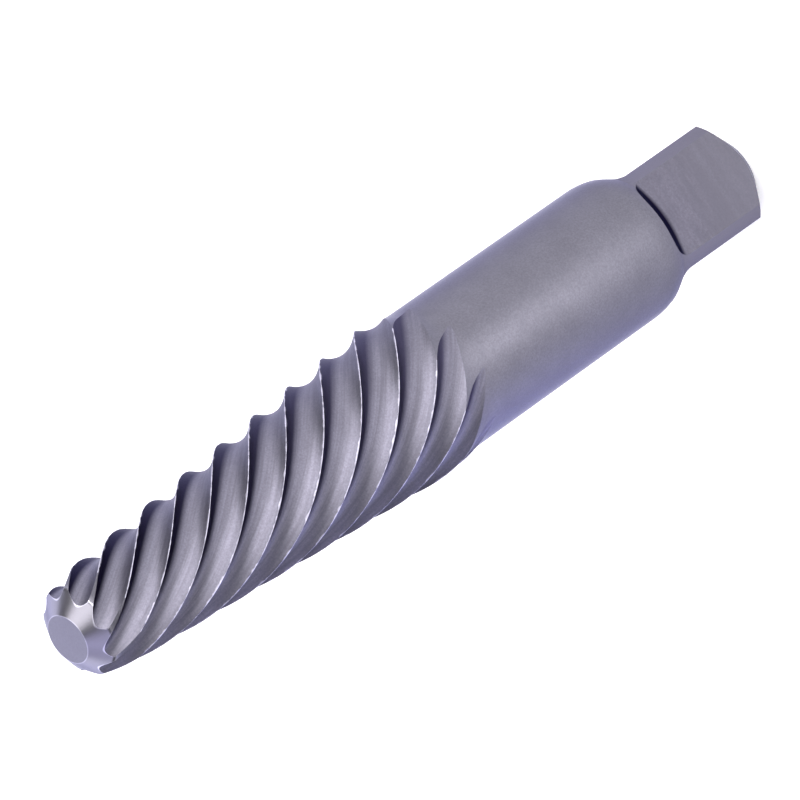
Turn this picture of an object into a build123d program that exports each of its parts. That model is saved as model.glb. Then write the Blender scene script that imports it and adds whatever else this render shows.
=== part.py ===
from build123d import *
from math import ceil, cos, radians, tan
import os

# Spiral screw extractor, turned, fluted and milled from one bar of tool steel.
# It stands on the end face of its square: Z runs from there up to the small tip.

# Lengths along the tool, in millimetres
overall_length = 95.25
square_length = 13.8
shoulder_height = 16.4
fluted_length = 46.6
collar_length = 3.6

# Shank, and the shoulders at its two ends
shank_diameter = 15.1
shoulder_angle = 19.0
shoulder_rounding = 9.0
collar_rounding = 9.0

# Square drive, with turned corners and a chamfered end
square_across_flats = 11.0
square_corner_diameter = 14.05
square_root_radius = 2.0
end_face_diameter = 8.0
end_chamfer_angle = 45.0

# Tip: a flat face, a blunt cone, and a steeper lead that eases the crests into the hole
tip_face_diameter = 5.0
tip_cone_angle = 54.0
tip_rim_diameter = 9.0
tip_lead_length = 5.0
tip_rounding = 0.6

# Left-hand flutes, whose walls meet in sharp crests on a taper
flute_count = 9
flute_lead = 46.5
flute_depth = 1.2
flute_depth_at_collar = 1.0
flute_floor_share = 0.4
crest_diameter_at_tip = 9.8
crest_taper = 0.1412
first_crest_angle = 37.6
turning_allowance = 0.12

# Share of a flute's pitch that the fluted form turns by between two of its sections, which
# stays under a half so that each crest meets itself, and how far cuts run past the metal
section_turn_share = 0.45
runout_clearance = 0.3
overrun = 1.0

shank_radius = shank_diameter / 2
corner_radius = square_corner_diameter / 2
flat_distance = square_across_flats / 2
end_face_radius = end_face_diameter / 2
tip_face_radius = tip_face_diameter / 2
flute_pitch = 360 / flute_count


def crest_radius(height):
    """Radius of the cone that the crests of the flutes lie on."""
    return (crest_diameter_at_tip + crest_taper * (overall_length - height)) / 2


def blank_radius(height):
    """Radius of the taper as it is turned, before the flutes are cut."""
    return crest_radius(height) + turning_allowance


def floor_radius(height):
    """Radius of the floors of the flutes, which are a little shallower towards the collar."""
    share = (overall_length - height) / fluted_length
    return crest_radius(height) - flute_depth * (1 - share) - flute_depth_at_collar * share


def polar(radius, angle):
    """Point at a radius and an angle about the axis of the tool."""
    return Vector(radius, 0).rotate(Axis.Z, angle)


def flute_section(height):
    """Section across the fluted form: hollow flutes in a ring, with a crest between each two."""
    half_pitch = flute_pitch / 2
    half_floor = half_pitch * flute_floor_share
    crest = crest_radius(height)
    # The middle of each curve is a quarter of its ends and three quarters of its handles
    reach = 4 * floor_radius(height) - crest * cos(radians(half_pitch))
    handle = reach / (3 * cos(radians(half_floor)))
    turn = first_crest_angle + half_pitch + 360 * (overall_length - height) / flute_lead
    with BuildSketch(Plane.XY.offset(height)) as section:
        with BuildLine():
            for flute in range(flute_count):
                middle = turn + flute * flute_pitch
                Bezier(
                    polar(crest, middle - half_pitch),
                    polar(handle, middle - half_floor),
                    polar(handle, middle + half_floor),
                    polar(crest, middle + half_pitch),
                )
        make_face()
    return section.sketch


# Heights that follow from the sizes above
end_chamfer_height = (corner_radius - end_face_radius) / tan(radians(end_chamfer_angle))
shoulder_foot = shoulder_height - (shank_radius - corner_radius) / tan(radians(shoulder_angle))
collar_top = overall_length - fluted_length
collar_foot = collar_top - collar_length
tip_rim_radius = tip_rim_diameter / 2
lead_foot = overall_length - tip_lead_length
tip_cone_height = (tip_rim_radius - tip_face_radius) / tan(radians(tip_cone_angle))
floor_taper = crest_taper / 2 + (flute_depth - flute_depth_at_collar) / fluted_length
runout_radius = shank_radius + runout_clearance
runout_height = overall_length - (runout_radius + flute_depth - crest_diameter_at_tip / 2) / floor_taper

# Fluted form: its floors widen past the shank, so the flutes run out of the metal by themselves
form_top = overall_length + overrun
form_length = form_top - runout_height
section_turn = flute_pitch * section_turn_share
section_count = ceil(form_length * 360 / flute_lead / section_turn)
with BuildPart() as fluted_form:
    for step in range(section_count + 1):
        add(flute_section(runout_height + form_length * step / section_count))
    loft()
    with BuildSketch(Plane.XY.offset(runout_height)):
        Circle(runout_radius)
    extrude(amount=-runout_height - overrun)

# Milling cut that makes one flat, with the round of the cutter at its root
cut_side = shank_radius + square_root_radius
with BuildPart() as flat_cut:
    with BuildSketch(Plane.XZ):
        with BuildLine():
            flat_line = Line((flat_distance, -overrun), (flat_distance, square_length))
            root_arc = JernArc(flat_line @ 1, flat_line % 1, square_root_radius, -90)
            Polyline(root_arc @ 1, (cut_side, (root_arc @ 1).Y), (cut_side, -overrun), flat_line @ 0)
        make_face()
    extrude(amount=shank_radius, both=True)

# The tool itself: the turned blank, then its flutes and its square
with BuildPart() as screw_extractor:
    with BuildSketch(Plane.XZ):
        with BuildLine():
            FilletPolyline(
                (0, 0),
                (end_face_radius, 0),
                (corner_radius, end_chamfer_height),
                (corner_radius, shoulder_foot),
                (shank_radius, shoulder_height),
                (shank_radius, collar_foot),
                (blank_radius(collar_top), collar_top),
                (blank_radius(lead_foot), lead_foot),
                (tip_rim_radius, overall_length - tip_cone_height),
                (tip_face_radius, overall_length),
                (0, overall_length),
                radius=[0] * 4 + [shoulder_rounding] + [collar_rounding] * 3 + [tip_rounding, 0, 0],
                close=True,
            )
        make_face()
    revolve(axis=Axis.Z)
    add(fluted_form.part, mode=Mode.INTERSECT)
    with PolarLocations(0, 4):
        add(flat_cut.part, mode=Mode.SUBTRACT)

screw_extractor.part.label = "screw_extractor"
os.makedirs("parts", exist_ok=True)
export_step(screw_extractor.part, "parts/screw_extractor.step")
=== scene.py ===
from math import acos, cos, pi, radians, sin, tan

import bpy
from bpy.props import FloatProperty, FloatVectorProperty, IntProperty, PointerProperty
from mathutils import Matrix, Vector


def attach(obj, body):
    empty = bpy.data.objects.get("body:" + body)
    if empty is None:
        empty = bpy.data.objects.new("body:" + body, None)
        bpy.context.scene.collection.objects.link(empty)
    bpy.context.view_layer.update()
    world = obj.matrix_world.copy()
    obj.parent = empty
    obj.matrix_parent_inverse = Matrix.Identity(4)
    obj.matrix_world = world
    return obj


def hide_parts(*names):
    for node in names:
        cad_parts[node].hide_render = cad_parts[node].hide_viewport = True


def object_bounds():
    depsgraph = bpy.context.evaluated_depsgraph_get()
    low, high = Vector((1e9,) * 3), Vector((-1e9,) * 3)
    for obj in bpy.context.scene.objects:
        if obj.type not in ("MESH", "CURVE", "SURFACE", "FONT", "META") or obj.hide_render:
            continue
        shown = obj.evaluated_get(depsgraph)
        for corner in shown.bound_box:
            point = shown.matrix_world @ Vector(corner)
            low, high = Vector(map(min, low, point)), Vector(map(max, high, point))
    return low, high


bl_info = {
    "name": "Screw Extractor",
    "version": (1, 0, 0),
    "blender": (4, 5, 0),
    "location": "3D View > Sidebar > Extractor",
    "description": "Builds a spiral screw extractor and a small studio to show it in",
    "category": "Object",
}

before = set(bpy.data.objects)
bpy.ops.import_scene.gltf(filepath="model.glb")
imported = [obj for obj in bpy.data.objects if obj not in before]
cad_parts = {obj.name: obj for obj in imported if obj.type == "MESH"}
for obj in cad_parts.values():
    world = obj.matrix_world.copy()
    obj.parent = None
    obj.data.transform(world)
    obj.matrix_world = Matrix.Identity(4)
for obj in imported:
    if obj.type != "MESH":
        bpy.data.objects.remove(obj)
cad_low, cad_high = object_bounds()

# How finely the turned bar, the fluted form and the round at the root of the flats are divided
BAR_SEGMENTS = 256
ARC_STEP = radians(2)
FLUTE_COLUMNS = 22
FORM_ROWS = 220
ROOT_STEPS = 14

# How far the fluted form clears the shank at its foot, and how far cuts run past the metal
RUNOUT_CLEARANCE = 0.0003
OVERRUN = 0.001

# Lens and pose of the camera, fitted to the photograph, in the frame of the part
CAMERA_PLACE = Vector((0.00037, -0.5567, 0.4599))
CAMERA_RIGHT = Vector((-0.5776, -0.4850, -0.6566))
CAMERA_UP = Vector((0.8163, -0.3431, -0.4646))
CAMERA_LENS = 327.2


def length(name, description, default):
    """A property that holds a length, in metres."""
    return FloatProperty(
        name=name, description=description, default=default, min=0.0, precision=5, unit="LENGTH"
    )


def angle(name, description, degrees):
    """A property that holds an angle."""
    return FloatProperty(name=name, description=description, default=radians(degrees), subtype="ANGLE")


def share(name, description, default):
    """A property that holds a share from 0 to 1."""
    return FloatProperty(
        name=name, description=description, default=default, min=0.0, max=1.0, subtype="FACTOR"
    )


def colour(name, description, default):
    """A property that holds a linear colour."""
    return FloatVectorProperty(
        name=name, description=description, default=default, size=3, min=0.0, max=1.0, subtype="COLOR"
    )


def power(name, description, default):
    """A property that holds the power of a lamp, in watts."""
    return FloatProperty(name=name, description=description, default=default, min=0.0, unit="POWER")


class ExtractorSizes(bpy.types.PropertyGroup):
    """Sizes of the tool, whose heights are measured from the end face of its square"""

    overall_length: length("Overall length", "From the square's end face to the tip", cad_high.z)
    shank_diameter: length("Shank", "Diameter of the plain shank", 0.0151)
    shoulder_height: length("Shoulder", "Height at which the shank reaches its full width", 0.0164)
    shoulder_angle: angle("Shoulder angle", "Slope of the shoulder", 19)
    rounding: length("Rounding", "Radius where the shank meets the shoulder and the taper", 0.009)
    fluted_length: length("Fluted length", "Length of the turned taper", 0.0466)
    collar_length: length("Collar", "Length of the turned step above the shank", 0.0036)
    across_flats: length("Across flats", "Width of the square", 0.011)
    corner_diameter: length("Corners", "Diameter of the turned corners of the square", 0.01405)
    square_length: length("Square", "Length of the flats up to their root", 0.0138)
    root_radius: length("Root radius", "Round of the cutter at the root of the flats", 0.002)
    end_face_diameter: length("End face", "Diameter of the square's flat end face", 0.008)
    tip_face_diameter: length("Tip face", "Diameter of the flat face at the tip", 0.005)
    tip_rim_diameter: length("Tip rim", "Diameter where the blunt cone ends", 0.009)
    tip_lead_length: length("Tip lead", "Length over which the crests are eased", 0.005)
    tip_rounding: length("Tip rounding", "Radius at the rim of the blunt cone", 0.0006)
    tip_cone_angle: angle("Tip cone", "Slope of the blunt cone", 54)
    flutes: IntProperty(name="Flutes", description="Number of spiral flutes", default=9, min=3)
    lead: length("Lead", "Length in which a flute turns once", 0.0465)
    first_crest: angle("First crest", "Angle of one crest at the tip", 37.6)
    crest_diameter: length("Crests", "Diameter over the crests at the tip", 0.0098)
    crest_taper: share("Crest taper", "Growth of that diameter along the tool", 0.1412)
    depth: length("Depth", "Depth of the flutes at the tip", 0.0012)
    depth_at_collar: length("Depth at collar", "Depth of the flutes at the collar", 0.001)
    floor_share: share("Floor", "Share of a flute that its floor takes up", 0.4)
    land_width: length("Crest land", "Width of the narrow land left on each crest", 0.00009)
    turning_allowance: length("Allowance", "Metal that the turned taper leaves over the crests", 0.00012)


class SteelFinish(bpy.types.PropertyGroup):
    """Colours of the steel and of the shade and highlights painted on it, how matt it is and the strength
    of its grain
    """

    steel: colour("Turned steel", "Colour of the shank", (0.131, 0.128, 0.153))
    ground: colour("Ground steel", "Colour of the flutes", (0.165, 0.16, 0.2))
    flats: colour("Flats", "Colour of the milled flats", (0.128, 0.123, 0.154))
    tip: colour("Tip", "Colour of the turned cone at the tip", (0.205, 0.2, 0.232))
    # Worn crests and rims, lightened further as a painted highlight
    bright: colour("Bright edges", "Colour of rubbed edges", (0.52, 0.51, 0.6))
    # Painted shade: the walls of the flutes that face the square are near black at the tip and dusky at
    # the collar
    wall_shade: colour("Painted wall shade", "Colour of the walls that face the square, at the tip", (0.004, 0.003, 0.01))
    wall_shade_at_collar: colour("Painted wall shade at collar", "Colour of the same walls at the collar", (0.034, 0.031, 0.052))
    # Painted shade: the near-black line in the round at the root of the flats
    root: colour("Root", "Colour in the round at the root of the flats", (0.002, 0.0015, 0.009))
    glance: colour("Glancing tint", "Tint of the steel where it turns away", (0.6, 0.6, 0.75))
    roughness: share("Roughness", "How matt the turned steel is", 0.31)
    ground_roughness: share("Ground roughness", "How matt the flutes are", 0.47)
    milled_roughness: share("Milled roughness", "How matt the flats are", 0.39)
    grain: share("Grain", "Strength of the fine grain", 0.25)
    milled_grain: share("Milled grain", "Strength of the fine grain on the flats", 0.15)


class StudioSettings(bpy.types.PropertyGroup):
    """Light and backdrop of the small studio"""

    key: power("Key light", "Power of the wide softbox in front of the tool", 2.38)
    table: power("Table light", "Power of the small softbox over the floor in front of the tool", 0.0145)
    side: power("Side light", "Power of the blue softbox over the floor beside the tool", 0.17)
    tip: power("Tip light", "Power of the small softbox beside the tip", 0.07)
    fill: power("Fill light", "Power of the violet softbox at the side", 0.5)
    top: power("Top light", "Power of the softbox over the tool", 1.35)
    back: power("Back light", "Power of the wide softbox behind the tool", 6.2)
    world: share("Surroundings", "Strength of the even light all round", 0.21)
    glow: share("Glow", "How much the floor is lifted to white where it is seen", 0.4)
    floor: colour("Floor", "Colour of the floor", (0.93, 0.93, 0.93))


class Term:
    """A value in a node tree, which can be added, multiplied and so on like a number."""

    def __init__(self, tree, socket):
        self.tree = tree
        self.socket = socket

    def math(self, operation, *values):
        """The result of a Math node, whose inputs are terms or numbers."""
        node = self.tree.nodes.new("ShaderNodeMath")
        node.operation = operation
        for place, value in enumerate(values):
            if isinstance(value, Term):
                self.tree.links.new(value.socket, node.inputs[place])
            else:
                node.inputs[place].default_value = value
        return Term(self.tree, node.outputs[0])

    def __add__(self, other):
        return self.math("ADD", self, other)

    __radd__ = __add__

    def __sub__(self, other):
        return self.math("SUBTRACT", self, other)

    def __rsub__(self, other):
        return self.math("SUBTRACT", other, self)

    def __mul__(self, other):
        return self.math("MULTIPLY", self, other)

    __rmul__ = __mul__

    def __truediv__(self, other):
        return self.math("DIVIDE", self, other)

    def __rtruediv__(self, other):
        return self.math("DIVIDE", other, self)

    def __pow__(self, other):
        return self.math("POWER", self, other)

    def over(self, other):
        """1 where this value is the larger one, and 0 elsewhere."""
        return self.math("GREATER_THAN", self, other)

    def larger(self, other):
        return self.math("MAXIMUM", self, other)

    def smaller(self, other):
        return self.math("MINIMUM", self, other)

    def arctan2(self, other):
        return self.math("ARCTAN2", self, other)

    def sin(self):
        return self.math("SINE", self)

    def cos(self):
        return self.math("COSINE", self)

    def root(self):
        return self.math("SQRT", self)

    def absolute(self):
        return self.math("ABSOLUTE", self)

    def floor(self):
        return self.math("FLOOR", self)

    def fraction(self):
        return self.math("FRACT", self)

    def clamped(self):
        return self.larger(0.0).smaller(1.0)

    def ramp(self, start, end):
        """0 at start and 1 at end, even in between, where end may also be the smaller one."""
        return ((self - start) / (end - start)).clamped()

    def mixed(self, low, high):
        """low where this value is 0, high where it is 1."""
        return low + (high - low) * self


def add_node(tree, kind, inputs=(), **settings):
    """A new node with its settings, and its inputs linked or set by name or place."""
    node = tree.nodes.new(kind)
    for name, value in settings.items():
        setattr(node, name, value)
    for name, value in dict(inputs).items():
        for one in value if isinstance(value, list) else [value]:
            if isinstance(one, Term):
                tree.links.new(one.socket, node.inputs[name])
            elif isinstance(one, bpy.types.NodeSocket):
                tree.links.new(one, node.inputs[name])
            else:
                node.inputs[name].default_value = one
    return node


def join(tree, x, y, z):
    """A vector from three values."""
    return add_node(tree, "ShaderNodeCombineXYZ", {"X": x, "Y": y, "Z": z}).outputs[0]


def split(tree, vector):
    """The three values of a vector."""
    parts = add_node(tree, "ShaderNodeSeparateXYZ", {0: vector})
    return [Term(tree, socket) for socket in parts.outputs]


def new_tree(name, kind, inputs, outputs):
    """A node group with named sockets, given as (name, kind of socket, default)."""
    tree = bpy.data.node_groups.new(name, kind)
    for direction, sockets in (("INPUT", inputs), ("OUTPUT", outputs)):
        for title, socket_kind, default in sockets:
            socket = tree.interface.new_socket(name=title, in_out=direction, socket_type=socket_kind)
            if default is not None:
                socket.default_value = default
    return tree


def size_of(sizes, title):
    """The size with the title of a node's input, such as "Crest Taper"."""
    return getattr(sizes, title.lower().replace(" ", "_"))


# The turned blank


def rounded_profile(points):
    """Corner points (radius, height, rounding) as a polyline with an arc at each rounded corner."""
    line = []
    for place, (radius, height, rounding) in enumerate(points):
        corner = Vector((radius, height))
        if not rounding:
            line.append(corner)
            continue
        back = (Vector(points[place - 1][:2]) - corner).normalized()
        ahead = (Vector(points[place + 1][:2]) - corner).normalized()
        half = acos(back.dot(ahead)) / 2
        centre = corner + (back + ahead).normalized() * rounding / sin(half)
        start = corner + back * rounding / tan(half) - centre
        turn = pi - 2 * half
        if start.x * (corner - centre).y < start.y * (corner - centre).x:
            turn = -turn
        count = max(3, round(abs(turn) / ARC_STEP))
        for part in range(count + 1):
            line.append(centre + Matrix.Rotation(turn * part / count, 2) @ start)
    return line


def lathe(name, line, segments):
    """A closed mesh, turned round Z from a polyline of (radius, height) points."""
    points = [(0.0, 0.0, line[0].y)]
    for point in line:
        for part in range(segments):
            turn = 2 * pi * part / segments
            points.append((point.x * cos(turn), point.x * sin(turn), point.y))
    points.append((0.0, 0.0, line[-1].y))
    last = 1 + (len(line) - 1) * segments
    faces = []
    for part in range(segments):
        after = (part + 1) % segments
        faces.append((0, 1 + after, 1 + part))
        faces.append((last + part, last + after, len(points) - 1))
    for low in range(1, last, segments):
        high = low + segments
        for part in range(segments):
            after = (part + 1) % segments
            faces.append((low + part, low + after, high + after, high + part))
    mesh = bpy.data.meshes.new(name)
    mesh.from_pydata(points, [], faces)
    mesh.validate()
    return mesh


def blank_line(sizes):
    """Profile of the bar as it is turned, from the end face of the square up to the tip."""
    shank = sizes.shank_diameter / 2
    corner = sizes.corner_diameter / 2
    end = sizes.end_face_diameter / 2
    face = sizes.tip_face_diameter / 2
    rim = sizes.tip_rim_diameter / 2
    top = sizes.overall_length

    def taper(height):
        return (sizes.crest_diameter + sizes.crest_taper * (top - height)) / 2 + sizes.turning_allowance

    collar = top - sizes.fluted_length
    lead = top - sizes.tip_lead_length
    return rounded_profile(
        [
            (end, 0.0, 0.0),
            (corner, corner - end, 0.0),
            (corner, sizes.shoulder_height - (shank - corner) / tan(sizes.shoulder_angle), 0.0),
            (shank, sizes.shoulder_height, sizes.rounding),
            (shank, collar - sizes.collar_length, sizes.rounding),
            (taper(collar), collar, sizes.rounding),
            (taper(lead), lead, sizes.rounding),
            (rim, top - (rim - face) / tan(sizes.tip_cone_angle), sizes.tip_rounding),
            (face, top, 0.0),
        ]
    )


# The flutes and the square, cut by a node tree

# Inputs of the tree, each of which takes the size of the same name
TREE_SIZES = (
    "Overall Length",
    "Shank Diameter",
    "Fluted Length",
    "Lead",
    "First Crest",
    "Crest Diameter",
    "Crest Taper",
    "Depth",
    "Depth at Collar",
    "Floor Share",
    "Land Width",
    "Across Flats",
    "Square Length",
    "Root Radius",
)


def flute_grid(tree, flutes):
    """A tube to be bent into flutes, and the flute, column and row of each of its points."""
    tube = add_node(
        tree,
        "GeometryNodeMeshCylinder",
        {"Vertices": flutes * FLUTE_COLUMNS, "Side Segments": FORM_ROWS, "Radius": 1.0, "Depth": 1.0},
        fill_type="NGON",
    )
    x, y, z = split(tree, add_node(tree, "GeometryNodeInputPosition").outputs[0])
    # The whole turn keeps the angle above zero, and the nudges keep each point in its own flute
    turn_nudge = 0.00001
    column_nudge = 0.001
    turn = (y.arctan2(x) / (2 * pi) + 1.0 + turn_nudge).fraction()
    flute = (turn * flutes).floor()
    column = ((turn * flutes - flute) * FLUTE_COLUMNS - column_nudge).larger(0.0)
    row = (z + 0.5) * FORM_ROWS
    return tube.outputs["Mesh"], flute, column, row


def flute_curve(given, column, crest, floor):
    """Where a column lies in the section of its flute: outwards and sideways from the axis."""
    half_pitch = pi / given["Flutes"]
    half_land = given["Land Width"] / 2 / crest
    half_floor = half_pitch * given["Floor Share"]
    half_open = half_pitch - half_land
    handle = (4 * floor - crest * half_open.cos()) / (3 * half_floor.cos())

    # Each flute is one curve from land to land, and its first column is the far edge of the land
    s = ((column - 1.0) / (FLUTE_COLUMNS - 1)).clamped()
    r = 1.0 - s
    b0, b1, b2, b3 = r * r * r, 3 * r * r * s, 3 * r * s * s, s * s * s
    radial = crest * half_open.cos() * (b0 + b3) + handle * half_floor.cos() * (b1 + b2)
    lateral = crest * half_open.sin() * (b3 - b0) + handle * half_floor.sin() * (b2 - b1)
    on_land = (0.5 - column).over(0.0)
    radial = on_land.mixed(radial, crest * (half_pitch + half_land).cos())
    lateral = on_land.mixed(lateral, -1 * crest * (half_pitch + half_land).sin())
    return radial, lateral


def fluted_form(tree, given):
    """A closed mesh of the fluted form, wide enough below to clear the shank."""
    top = given["Overall Length"]
    crest_at_tip = given["Crest Diameter"] / 2
    slope = given["Crest Taper"] / 2
    deepening = (given["Depth"] - given["Depth at Collar"]) / given["Fluted Length"]
    floor_at_tip = crest_at_tip - given["Depth"]
    clear = given["Shank Diameter"] / 2 + RUNOUT_CLEARANCE
    form_top = top + OVERRUN
    form_foot = top - (clear - floor_at_tip) / (slope + deepening)

    tube, flute, column, row = flute_grid(tree, given["Flutes"])
    shaped = ((row - 1.0) / (FORM_ROWS - 1)).larger(0.0).mixed(form_foot, form_top)
    # The lowest ring stands straight under the next, so the form reaches past the square
    height = (0.5 - row).over(0.0).mixed(shaped, -OVERRUN)

    along = top - shaped
    crest = crest_at_tip + slope * along
    floor = floor_at_tip + (slope + deepening) * along
    radial, lateral = flute_curve(given, column, crest, floor)
    half_pitch = pi / given["Flutes"]
    middle = given["First Crest"] + half_pitch * (2 * flute + 1) + 2 * pi * along / given["Lead"]
    place = join(
        tree,
        radial * middle.cos() - lateral * middle.sin(),
        radial * middle.sin() + lateral * middle.cos(),
        height,
    )
    return add_node(tree, "GeometryNodeSetPosition", {"Geometry": tube, "Position": place}).outputs[0]


def flat_cutters(tree, given):
    """Four cutters round the square, each with the round of the milling cutter at its root."""
    near = given["Across Flats"] / 2
    far = given["Shank Diameter"]
    head = given["Square Length"] + given["Root Radius"]
    outline = add_node(
        tree,
        "GeometryNodeCurvePrimitiveQuadrilateral",
        {
            "Point 1": join(tree, near, -OVERRUN, 0.0),
            "Point 2": join(tree, near, head, 0.0),
            "Point 3": join(tree, far, head, 0.0),
            "Point 4": join(tree, far, -OVERRUN, 0.0),
        },
        mode="POINTS",
    )
    index = Term(tree, add_node(tree, "GeometryNodeInputIndex").outputs[0])
    at_second_point = (1.0 - (index - 1.0).absolute()).larger(0.0)
    rounded = add_node(
        tree,
        "GeometryNodeFilletCurve",
        {
            "Curve": outline.outputs["Curve"],
            "Radius": at_second_point * given["Root Radius"],
            "Count": ROOT_STEPS,
        },
        mode="POLY",
    )
    filled = add_node(tree, "GeometryNodeFillCurve", {"Curve": rounded.outputs[0]}, mode="NGONS")
    profile = filled.outputs[0]

    wide = given["Shank Diameter"]
    sides = add_node(
        tree,
        "GeometryNodeExtrudeMesh",
        {"Mesh": profile, "Offset": join(tree, 0.0, 0.0, 1.0), "Offset Scale": wide, "Individual": False},
    )
    near_end = add_node(tree, "GeometryNodeFlipFaces", {"Mesh": profile})
    parts = [sides.outputs[0], near_end.outputs[0]]
    whole = add_node(tree, "GeometryNodeJoinGeometry", {"Geometry": parts}).outputs[0]
    weld = 0.000001
    merged = add_node(tree, "GeometryNodeMergeByDistance", {"Geometry": whole, "Distance": weld})
    upright = add_node(
        tree,
        "GeometryNodeTransform",
        {
            "Geometry": merged.outputs[0],
            "Translation": join(tree, 0.0, wide / 2, 0.0),
            "Rotation": (pi / 2, 0.0, 0.0),
        },
    ).outputs[0]
    turns = [(0.0, 0.0, side * pi / 2) for side in range(4)]
    return [
        add_node(tree, "GeometryNodeTransform", {"Geometry": upright, "Rotation": turn}).outputs[0]
        for turn in turns
    ]


def shaded_steel(tree, mesh):
    """The mesh shaded smooth, but for crisp edges and wide flat faces."""
    crisp_bend = radians(20)
    wide_face = 0.000004
    bend = Term(tree, add_node(tree, "GeometryNodeInputMeshEdgeAngle").outputs["Unsigned Angle"])
    area = Term(tree, add_node(tree, "GeometryNodeInputMeshFaceArea").outputs[0])
    for domain, chosen, smooth in (
        ("FACE", True, True),
        ("EDGE", bend.over(crisp_bend), False),
        ("FACE", area.over(wide_face), False),
    ):
        shading = {"Geometry": mesh, "Selection": chosen, "Shade Smooth": smooth}
        mesh = add_node(tree, "GeometryNodeSetShadeSmooth", shading, domain=domain).outputs[0]
    return mesh


def extractor_tree():
    """Cuts the spiral flutes and the square into a turned blank."""
    inputs = [("Geometry", "NodeSocketGeometry", None), ("Flutes", "NodeSocketInt", 9)]
    inputs += [(title, "NodeSocketFloat", 0.0) for title in TREE_SIZES]
    inputs += [(title, "NodeSocketMaterial", None) for title in ("Turned", "Ground", "Milled")]
    outputs = [("Geometry", "NodeSocketGeometry", None)]
    tree = new_tree("Spiral Flutes and Square", "GeometryNodeTree", inputs, outputs)
    entry = add_node(tree, "NodeGroupInput")
    given = {title: Term(tree, entry.outputs[title]) for title in ("Flutes", *TREE_SIZES)}

    def finished(mesh, finish, chosen=True):
        dressing = {"Geometry": mesh, "Selection": chosen, "Material": entry.outputs[finish]}
        return add_node(tree, "GeometryNodeSetMaterial", dressing).outputs[0]

    blank = finished(entry.outputs["Geometry"], "Turned")
    form = finished(fluted_form(tree, given), "Ground")
    cutters = [finished(cutter, "Milled") for cutter in flat_cutters(tree, given)]
    fluted = add_node(
        tree, "GeometryNodeMeshBoolean", {"Mesh 2": [blank, form]}, operation="INTERSECT", solver="EXACT"
    )
    squared = add_node(
        tree,
        "GeometryNodeMeshBoolean",
        {"Mesh 1": fluted.outputs["Mesh"], "Mesh 2": cutters},
        operation="DIFFERENCE",
        solver="EXACT",
    )
    shaded = shaded_steel(tree, squared.outputs["Mesh"])
    real = add_node(tree, "GeometryNodeRealizeInstances", {"Geometry": shaded}).outputs[0]

    # The level faces are the two ends of the bar, which were turned
    almost_level = 0.9999
    rise = split(tree, add_node(tree, "GeometryNodeInputNormal").outputs[0])[2]
    ends = finished(real, "Turned", rise.absolute().over(almost_level))
    add_node(tree, "NodeGroupOutput", {"Geometry": ends})
    return tree


def plain_copy(source, name):
    """The evaluated object as a plain mesh, in place of the object it came from."""
    graph = bpy.context.evaluated_depsgraph_get()
    mesh = bpy.data.meshes.new_from_object(source.evaluated_get(graph), depsgraph=graph)
    bpy.data.objects.remove(source)
    mesh.name = name
    piece = bpy.data.objects.new(name, mesh)
    bpy.context.scene.collection.objects.link(piece)
    return piece


# What the steels share: colours, noise, the grain and the place in the flutes


def scaled(tint, amount):
    """A colour made darker."""
    return [part * amount for part in tint]


def blend(tree, mask, low, high):
    """A colour between two others, by a mask."""
    tints = [tint if isinstance(tint, bpy.types.NodeSocket) else (*tint, 1.0) for tint in (low, high)]
    # A Mix node has sockets for each kind of value, and these are its mask and its two colours
    inputs = {0: mask, 6: tints[0], 7: tints[1]}
    return add_node(tree, "ShaderNodeMix", inputs, data_type="RGBA").outputs[2]


def noise(tree, place, scale, detail, roughness):
    """Soft noise from 0 to 1, whose scale is in waves to each unit of the place."""
    inputs = {"Vector": place, "Scale": scale, "Detail": detail, "Roughness": roughness}
    return Term(tree, add_node(tree, "ShaderNodeTexNoise", inputs).outputs[0])


def new_group(name, inputs, outputs):
    """A shader node group, and its inputs as terms by name."""
    tree = new_tree(name, "ShaderNodeTree", inputs, outputs)
    entry = add_node(tree, "NodeGroupInput")
    return tree, {socket.name: Term(tree, socket) for socket in entry.outputs if socket.name}


def group_node(tree, name, make, inputs):
    """A node of a shared group, which is built the first time."""
    group = bpy.data.node_groups.get(name) or make()
    return add_node(tree, "ShaderNodeGroup", inputs, node_tree=group)


def steel_grain_group():
    """Fine grain and soft patches of blasted steel."""
    tree, given = new_group(
        "Steel Grain",
        [
            ("Place", "NodeSocketVector", None),
            ("Grain Size", "NodeSocketFloat", 0.0002),
            ("Patch Size", "NodeSocketFloat", 0.003),
        ],
        [(name, "NodeSocketFloat", None) for name in ("Grain", "Patches", "Height")],
    )
    grain = noise(tree, given["Place"], 1.0 / given["Grain Size"], detail=2.0, roughness=0.7)
    patches = noise(tree, given["Place"], 1.0 / given["Patch Size"], detail=4.0, roughness=0.55)
    grain_in_height = 0.7
    height = grain * grain_in_height + patches * (1.0 - grain_in_height)
    add_node(
        tree, "NodeGroupOutput", {"Grain": grain, "Patches": patches.ramp(0.35, 0.65), "Height": height}
    )
    return tree


# Inputs of the Flute Position group, each of which takes the size of the same name
POSITION_SIZES = ("Flutes", "Lead", "First Crest", "Overall Length")


def flute_position_group():
    """How far across its flute a point lies, from one crest to the next, and how far from the tip."""
    inputs = [("Place", "NodeSocketVector", None)]
    inputs += [(title, "NodeSocketFloat", 0.0) for title in POSITION_SIZES]
    outputs = [(title, "NodeSocketFloat", None) for title in ("Across", "Along")]
    tree, given = new_group("Flute Position", inputs, outputs)
    x, y, z = split(tree, given["Place"])
    along = given["Overall Length"] - z
    turn = y.arctan2(x) - given["First Crest"] - 2 * pi * along / given["Lead"]
    # Whole flutes are added only to keep the value above zero
    whole_flutes = 99.0
    across = (turn / (2 * pi) * given["Flutes"] + whole_flutes).fraction()
    add_node(tree, "NodeGroupOutput", {"Across": across, "Along": along})
    return tree


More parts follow.
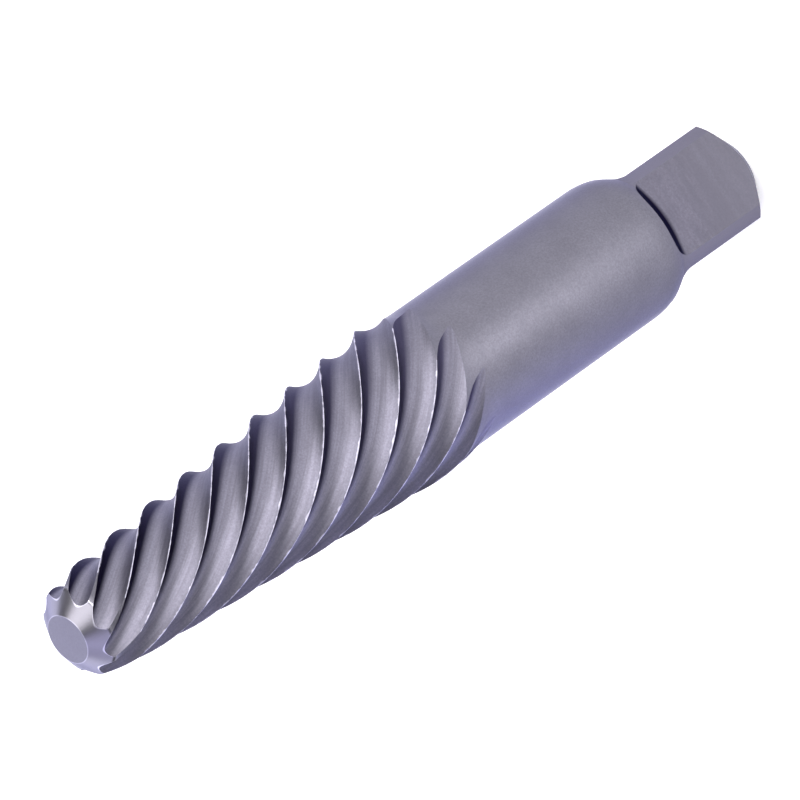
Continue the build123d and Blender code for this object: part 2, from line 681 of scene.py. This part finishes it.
def flute_position(tree, place, sizes):
    """The terms of the Flute Position group in a material: across its flute, and along from the tip."""
    inputs = {title: size_of(sizes, title) for title in POSITION_SIZES}
    flute = group_node(tree, "Flute Position", flute_position_group, {"Place": place, **inputs})
    return Term(tree, flute.outputs["Across"]), Term(tree, flute.outputs["Along"])


def steel(name, finish, tone, roughness, bump):
    """A steel with the shared grain: its material, and the place and the colour to paint with."""
    patch_amount = 0.9
    speck_amount = 0.54
    speck_contrast = 2.4
    speck_strength = 0.5
    roughness_swing = 0.12
    relief_height = 0.00004

    material = bpy.data.materials.new(name)
    material.use_nodes = True
    tree = material.node_tree
    shader = tree.nodes["Principled BSDF"]
    shader.inputs["Metallic"].default_value = 1.0
    shader.inputs["Specular Tint"].default_value = (*finish.glance, 1.0)
    place = add_node(tree, "ShaderNodeTexCoord").outputs["Object"]
    blasted = group_node(tree, "Steel Grain", steel_grain_group, {"Place": place})
    grain = Term(tree, blasted.outputs["Grain"])

    patched = blend(tree, blasted.outputs["Patches"], tone, scaled(tone, patch_amount))
    specks = ((grain - 0.5) * speck_contrast + 0.5).clamped() * speck_strength
    specked = blend(tree, specks, patched, scaled(tone, speck_amount))
    matt = grain * roughness_swing + (roughness - roughness_swing / 2)
    tree.links.new(matt.socket, shader.inputs["Roughness"])
    relief = {"Height": blasted.outputs["Height"], "Strength": bump, "Distance": relief_height}
    tree.links.new(add_node(tree, "ShaderNodeBump", relief).outputs[0], shader.inputs["Normal"])
    return material, place, specked


def painted(material, tint):
    """The material, with a socket's colour as its base colour."""
    tree = material.node_tree
    tree.links.new(tint, tree.nodes["Principled BSDF"].inputs["Base Color"])
    return material


# The steel, turned on the shank, ground along the flutes and milled on the flats


def worn_and_glinting_rims(tree, place, across, along, sizes):
    """A mask of the worn rims, which also carry a painted highlight: where the grooves end in the blunt
    cone, and round the tip's face.
    """
    groove_roundness = 1.8
    groove_rim = 0.00012
    face_rim = 0.00007
    face_strength = 0.5
    cone_start, cone_end = 0.0015, 0.0018

    x, y = split(tree, place)[:2]
    radius = (x * x + y * y).root()
    rise = (across - 0.5).absolute() * 2
    groove = sizes.crest_diameter / 2 - sizes.depth * (1.0 - rise ** groove_roundness)
    at_grooves = (groove - radius).absolute().ramp(groove_rim, 0.0)
    at_face = (radius - sizes.tip_face_diameter / 2).absolute().ramp(face_rim, 0.0)
    on_cone = along.ramp(cone_end, cone_start)
    return at_grooves.larger(at_face * face_strength) * on_cone


def turned_steel(scene):
    """The shank, the collar and the ends: duller towards the square, brighter on the blunt cone."""
    sizes = scene.extractor_sizes
    finish = scene.steel_finish
    square_amount = 0.95
    duller_from, duller_to = 0.0165, 0.0135
    cone_start, cone_end = 0.0016, 0.0022
    tip_face_share = 0.45
    face_skin = 0.00002

    material, place, base = steel("Turned Steel", finish, finish.steel, finish.roughness, finish.grain)
    tree = material.node_tree
    across, along = flute_position(tree, place, sizes)
    near_square = split(tree, place)[2].ramp(duller_from, duller_to)
    duller = blend(tree, near_square, base, scaled(finish.flats, square_amount))
    below_face = along.over(face_skin)
    cone = along.ramp(cone_end, cone_start) * below_face.mixed(tip_face_share, 1.0)
    brighter = blend(tree, cone, duller, finish.tip)
    # The rims are partly worn steel and partly a painted highlight
    rims = worn_and_glinting_rims(tree, place, across, along, sizes)
    return painted(material, blend(tree, rims, brighter, finish.bright))


def ground_steel(scene):
    """The flutes: streaked lengthways, with painted shade on the walls that face the square, and crests
    that are partly worn and partly a painted highlight.
    """
    sizes = scene.extractor_sizes
    finish = scene.steel_finish
    streaks_across = 14
    streaks_to_the_metre = 130
    streak_amount = 0.55
    streak_strength = 0.6
    softness = 1.6
    wear_and_glint_waves = 900.0
    least_wear_and_glint = 0.35
    crest_swing = 0.12
    least_crest = 0.008

    material, place, base = steel(
        "Ground Steel", finish, finish.ground, finish.ground_roughness, finish.grain
    )
    tree = material.node_tree
    across, along = flute_position(tree, place, sizes)
    stretched = join(tree, across * streaks_across, along * streaks_to_the_metre, 0.0)
    streaks = noise(tree, stretched, 1.0, detail=3.0, roughness=0.6).ramp(0.4, 0.7)
    streaked = blend(tree, streaks * streak_strength, base, scaled(finish.ground, streak_amount))

    # Painted shade on the walls that face the square: towards the collar it starts nearer to the middle of
    # its flute, and is softer
    down = along.ramp(0.0, sizes.fluted_length)
    wall_start = down.mixed(0.67, 0.48)
    wall_end = down.mixed(0.87, 0.78)
    wall = across.ramp(wall_start, wall_end) ** softness
    wall_shade_tint = blend(tree, down ** softness, finish.wall_shade, finish.wall_shade_at_collar)
    wall_shaded = blend(tree, wall, streaked, wall_shade_tint)

    # Noise for the worn crests makes the pale line of a crest wider here and there, as a share of the
    # flute; the line is partly worn steel and partly a painted highlight
    wear_and_glint = noise(tree, place, wear_and_glint_waves, detail=2.0, roughness=0.6)
    width = ((wear_and_glint - least_wear_and_glint) * crest_swing).larger(least_crest)
    from_crest = across.smaller(1.0 - across)
    return painted(material, blend(tree, from_crest.ramp(width, 0.0), wall_shaded, finish.bright))


def milled_steel(scene):
    """The flats of the square: soft cutter marks, a painted reflection that lightens them towards the end,
    and painted shade in the round at the root.
    """
    sizes = scene.extractor_sizes
    finish = scene.steel_finish
    marks_to_the_metre = (110.0, 110.0, 700.0)
    mark_amount = 0.7
    mark_strength = 0.7
    lightened_length = 0.012
    lightened_strength = 0.4
    half_flat = 0.0047
    root_drop = 0.0004
    root_bow = 0.0012
    root_fade = 0.0005

    material, place, base = steel(
        "Milled Steel", finish, finish.flats, finish.milled_roughness, finish.milled_grain
    )
    tree = material.node_tree
    x, y, height = split(tree, place)
    stretched = add_node(tree, "ShaderNodeMapping", {"Vector": place, "Scale": marks_to_the_metre})
    marks = noise(tree, stretched.outputs[0], 1.0, detail=3.0, roughness=0.55).ramp(0.4, 0.6)
    marked = blend(tree, marks * mark_strength, base, scaled(finish.flats, mark_amount))
    # Painted reflection: the flats are lightened towards the end face
    lightened = blend(tree, height.ramp(lightened_length, 0.0) * lightened_strength, marked, finish.tip)

    # Painted shade in the round at the root: its foot bows up towards the two sides of its flat
    sideways = x.absolute().smaller(y.absolute())
    foot = sizes.square_length - root_drop + (sideways / half_flat) ** 2.0 * root_bow
    return painted(material, blend(tree, height.ramp(foot, foot + root_fade), lightened, finish.root))


class OBJECT_OT_extractor_body(bpy.types.Operator):
    """Build the extractor: a turned bar with spiral flutes and a milled square"""

    bl_idname = "object.extractor_body"
    bl_label = "Extractor Body"

    def execute(self, context):
        scene = context.scene
        sizes = scene.extractor_sizes
        bar = bpy.data.objects.new("Blank", lathe("Blank", blank_line(sizes), BAR_SEGMENTS))
        scene.collection.objects.link(bar)
        modifier = bar.modifiers.new("Flutes and square", "NODES")
        modifier.node_group = extractor_tree()
        values = {title: size_of(sizes, title) for title in ("Flutes", *TREE_SIZES)}
        values["Turned"] = turned_steel(scene)
        values["Ground"] = ground_steel(scene)
        values["Milled"] = milled_steel(scene)
        for item in modifier.node_group.interface.items_tree:
            if item.in_out == "INPUT" and item.name in values:
                modifier[item.identifier] = values[item.name]
        body = plain_copy(bar, "Extractor_Body")
        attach(body, "root")
        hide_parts("screw_extractor")
        return {"FINISHED"}


# The studio


def add_camera(scene):
    """The camera, at the photograph's viewing angle."""
    back = CAMERA_RIGHT.cross(CAMERA_UP).normalized()
    turned = Matrix((CAMERA_RIGHT, CAMERA_UP, back)).transposed().to_4x4()
    camera = bpy.data.objects.new("Camera", bpy.data.cameras.new("Camera"))
    camera.data.lens = CAMERA_LENS
    camera.data.sensor_width = 36
    camera.data.clip_end = 50
    camera.matrix_world = Matrix.Translation(CAMERA_PLACE) @ turned
    scene.collection.objects.link(camera)
    scene.camera = camera


def add_softbox(scene, name, target, turn, rise, away, wide, tall, spread, watts, tint):
    """A soft lamp that faces a point, placed by its angles and its distance as seen from there."""
    lamp = bpy.data.lights.new(name, "AREA")
    lamp.shape = "RECTANGLE"
    lamp.size = wide
    lamp.size_y = tall
    lamp.spread = spread
    lamp.energy = watts
    lamp.color = tint
    aim = Vector((-sin(turn) * cos(rise), -cos(turn) * cos(rise), sin(rise)))
    turned = aim.to_track_quat("Z", "Y").to_matrix().to_4x4()
    holder = bpy.data.objects.new(name, lamp)
    holder.matrix_world = Matrix.Translation(target + aim * away) @ turned
    holder.visible_camera = False
    scene.collection.objects.link(holder)


def add_lamps(scene, studio):
    """Softboxes round the tool, and small ones that light what its flutes and tip mirror."""
    warm = (1.0, 0.98, 0.98)
    cool = (0.85, 0.85, 1.0)
    violet = (0.72, 0.7, 1.0)
    blue = (0.36, 0.38, 1.0)
    middle = Vector((0.0, 0.0, 0.048))
    tip = Vector((0.0, 0.0, cad_high.z))
    before = Vector((-0.008, -0.06, 0.0))
    beside = Vector((-0.15, 0.03, 0.0))
    # The point that it faces, its turn from the front towards -X and its rise in degrees, its
    # distance, width and height in metres, and how far its light spreads, in degrees
    for name, target, turn, rise, away, wide, tall, spread, watts, tint in (
        ("Key Softbox", middle, -38, 23, 0.32, 0.66, 0.14, 180, studio.key, warm),
        ("Top Softbox", middle, -58, 65, 0.5, 0.4, 0.26, 180, studio.top, warm),
        ("Fill Softbox", middle, 66, 32, 0.45, 0.28, 0.46, 180, studio.fill, violet),
        ("Back Softbox", middle, 180, 23, 0.6, 1.4, 0.5, 180, studio.back, cool),
        ("Table Softbox", before, 0, 89, 0.055, 0.032, 0.05, 64, studio.table, warm),
        ("Side Softbox", beside, 0, 89, 0.07, 0.16, 0.12, 100, studio.side, blue),
        ("Tip Softbox", tip, 96, 50, 0.13, 0.13, 0.11, 180, studio.tip, violet),
    ):
        angles = (radians(turn), radians(rise))
        add_softbox(scene, name, target, *angles, away, wide, tall, radians(spread), watts, tint)


def add_surroundings(scene, studio):
    """Even white light all round."""
    world = bpy.data.worlds.new("Studio")
    world.use_nodes = True
    sky = world.node_tree.nodes["Background"]
    sky.inputs["Color"].default_value = (1.0, 1.0, 1.0, 1.0)
    sky.inputs["Strength"].default_value = studio.world
    scene.world = world


def white_paper(studio):
    """Matt paper, lifted to white where the camera or a shiny surface sees it."""
    paper = bpy.data.materials.new("White Paper")
    paper.use_nodes = True
    tree = paper.node_tree
    shader = tree.nodes["Principled BSDF"]
    shader.inputs["Base Color"].default_value = (*studio.floor, 1.0)
    shader.inputs["Roughness"].default_value = 0.9
    shader.inputs["Emission Color"].default_value = (1.0, 1.0, 1.0, 1.0)
    ray = add_node(tree, "ShaderNodeLightPath")
    seen = Term(tree, ray.outputs["Is Camera Ray"])
    for kind in ("Is Glossy Ray", "Is Transmission Ray"):
        seen = seen.larger(Term(tree, ray.outputs[kind]))
    tree.links.new((seen * studio.glow).socket, shader.inputs["Emission Strength"])
    return paper


def add_floor(scene, studio):
    """A wide floor under the tool."""
    reach = 6.0
    corners = [(-reach, -reach, 0.0), (reach, -reach, 0.0), (reach, reach, 0.0), (-reach, reach, 0.0)]
    mesh = bpy.data.meshes.new("Floor")
    mesh.from_pydata(corners, [], [(0, 1, 2, 3)])
    mesh.materials.append(white_paper(studio))
    floor = bpy.data.objects.new("Floor", mesh)
    floor.location.z = cad_low.z
    scene.collection.objects.link(floor)


class SCENE_OT_extractor_studio(bpy.types.Operator):
    """Set up the floor, the lights and the camera"""

    bl_idname = "scene.extractor_studio"
    bl_label = "Studio"

    def execute(self, context):
        scene = context.scene
        studio = scene.studio_settings
        scene.view_settings.view_transform = "Standard"
        add_camera(scene)
        add_lamps(scene, studio)
        add_surroundings(scene, studio)
        add_floor(scene, studio)
        return {"FINISHED"}


class VIEW3D_PT_extractor(bpy.types.Panel):
    """Sidebar panel that lists the tool and the studio"""

    bl_label = "Screw Extractor"
    bl_idname = "VIEW3D_PT_extractor"
    bl_space_type = "VIEW_3D"
    bl_region_type = "UI"
    bl_category = "Extractor"

    def draw(self, context):
        for operator in (OBJECT_OT_extractor_body, SCENE_OT_extractor_studio):
            self.layout.operator(operator.bl_idname)


classes = (
    ExtractorSizes,
    SteelFinish,
    StudioSettings,
    OBJECT_OT_extractor_body,
    SCENE_OT_extractor_studio,
    VIEW3D_PT_extractor,
)


def register():
    for each in classes:
        bpy.utils.register_class(each)
    bpy.types.Scene.extractor_sizes = PointerProperty(type=ExtractorSizes)
    bpy.types.Scene.steel_finish = PointerProperty(type=SteelFinish)
    bpy.types.Scene.studio_settings = PointerProperty(type=StudioSettings)


def unregister():
    del bpy.types.Scene.studio_settings
    del bpy.types.Scene.steel_finish
    del bpy.types.Scene.extractor_sizes
    for each in reversed(classes):
        bpy.utils.unregister_class(each)


def main():
    register()
    bpy.ops.object.extractor_body()
    bpy.ops.scene.extractor_studio()


if __name__ == "__main__":
    main()
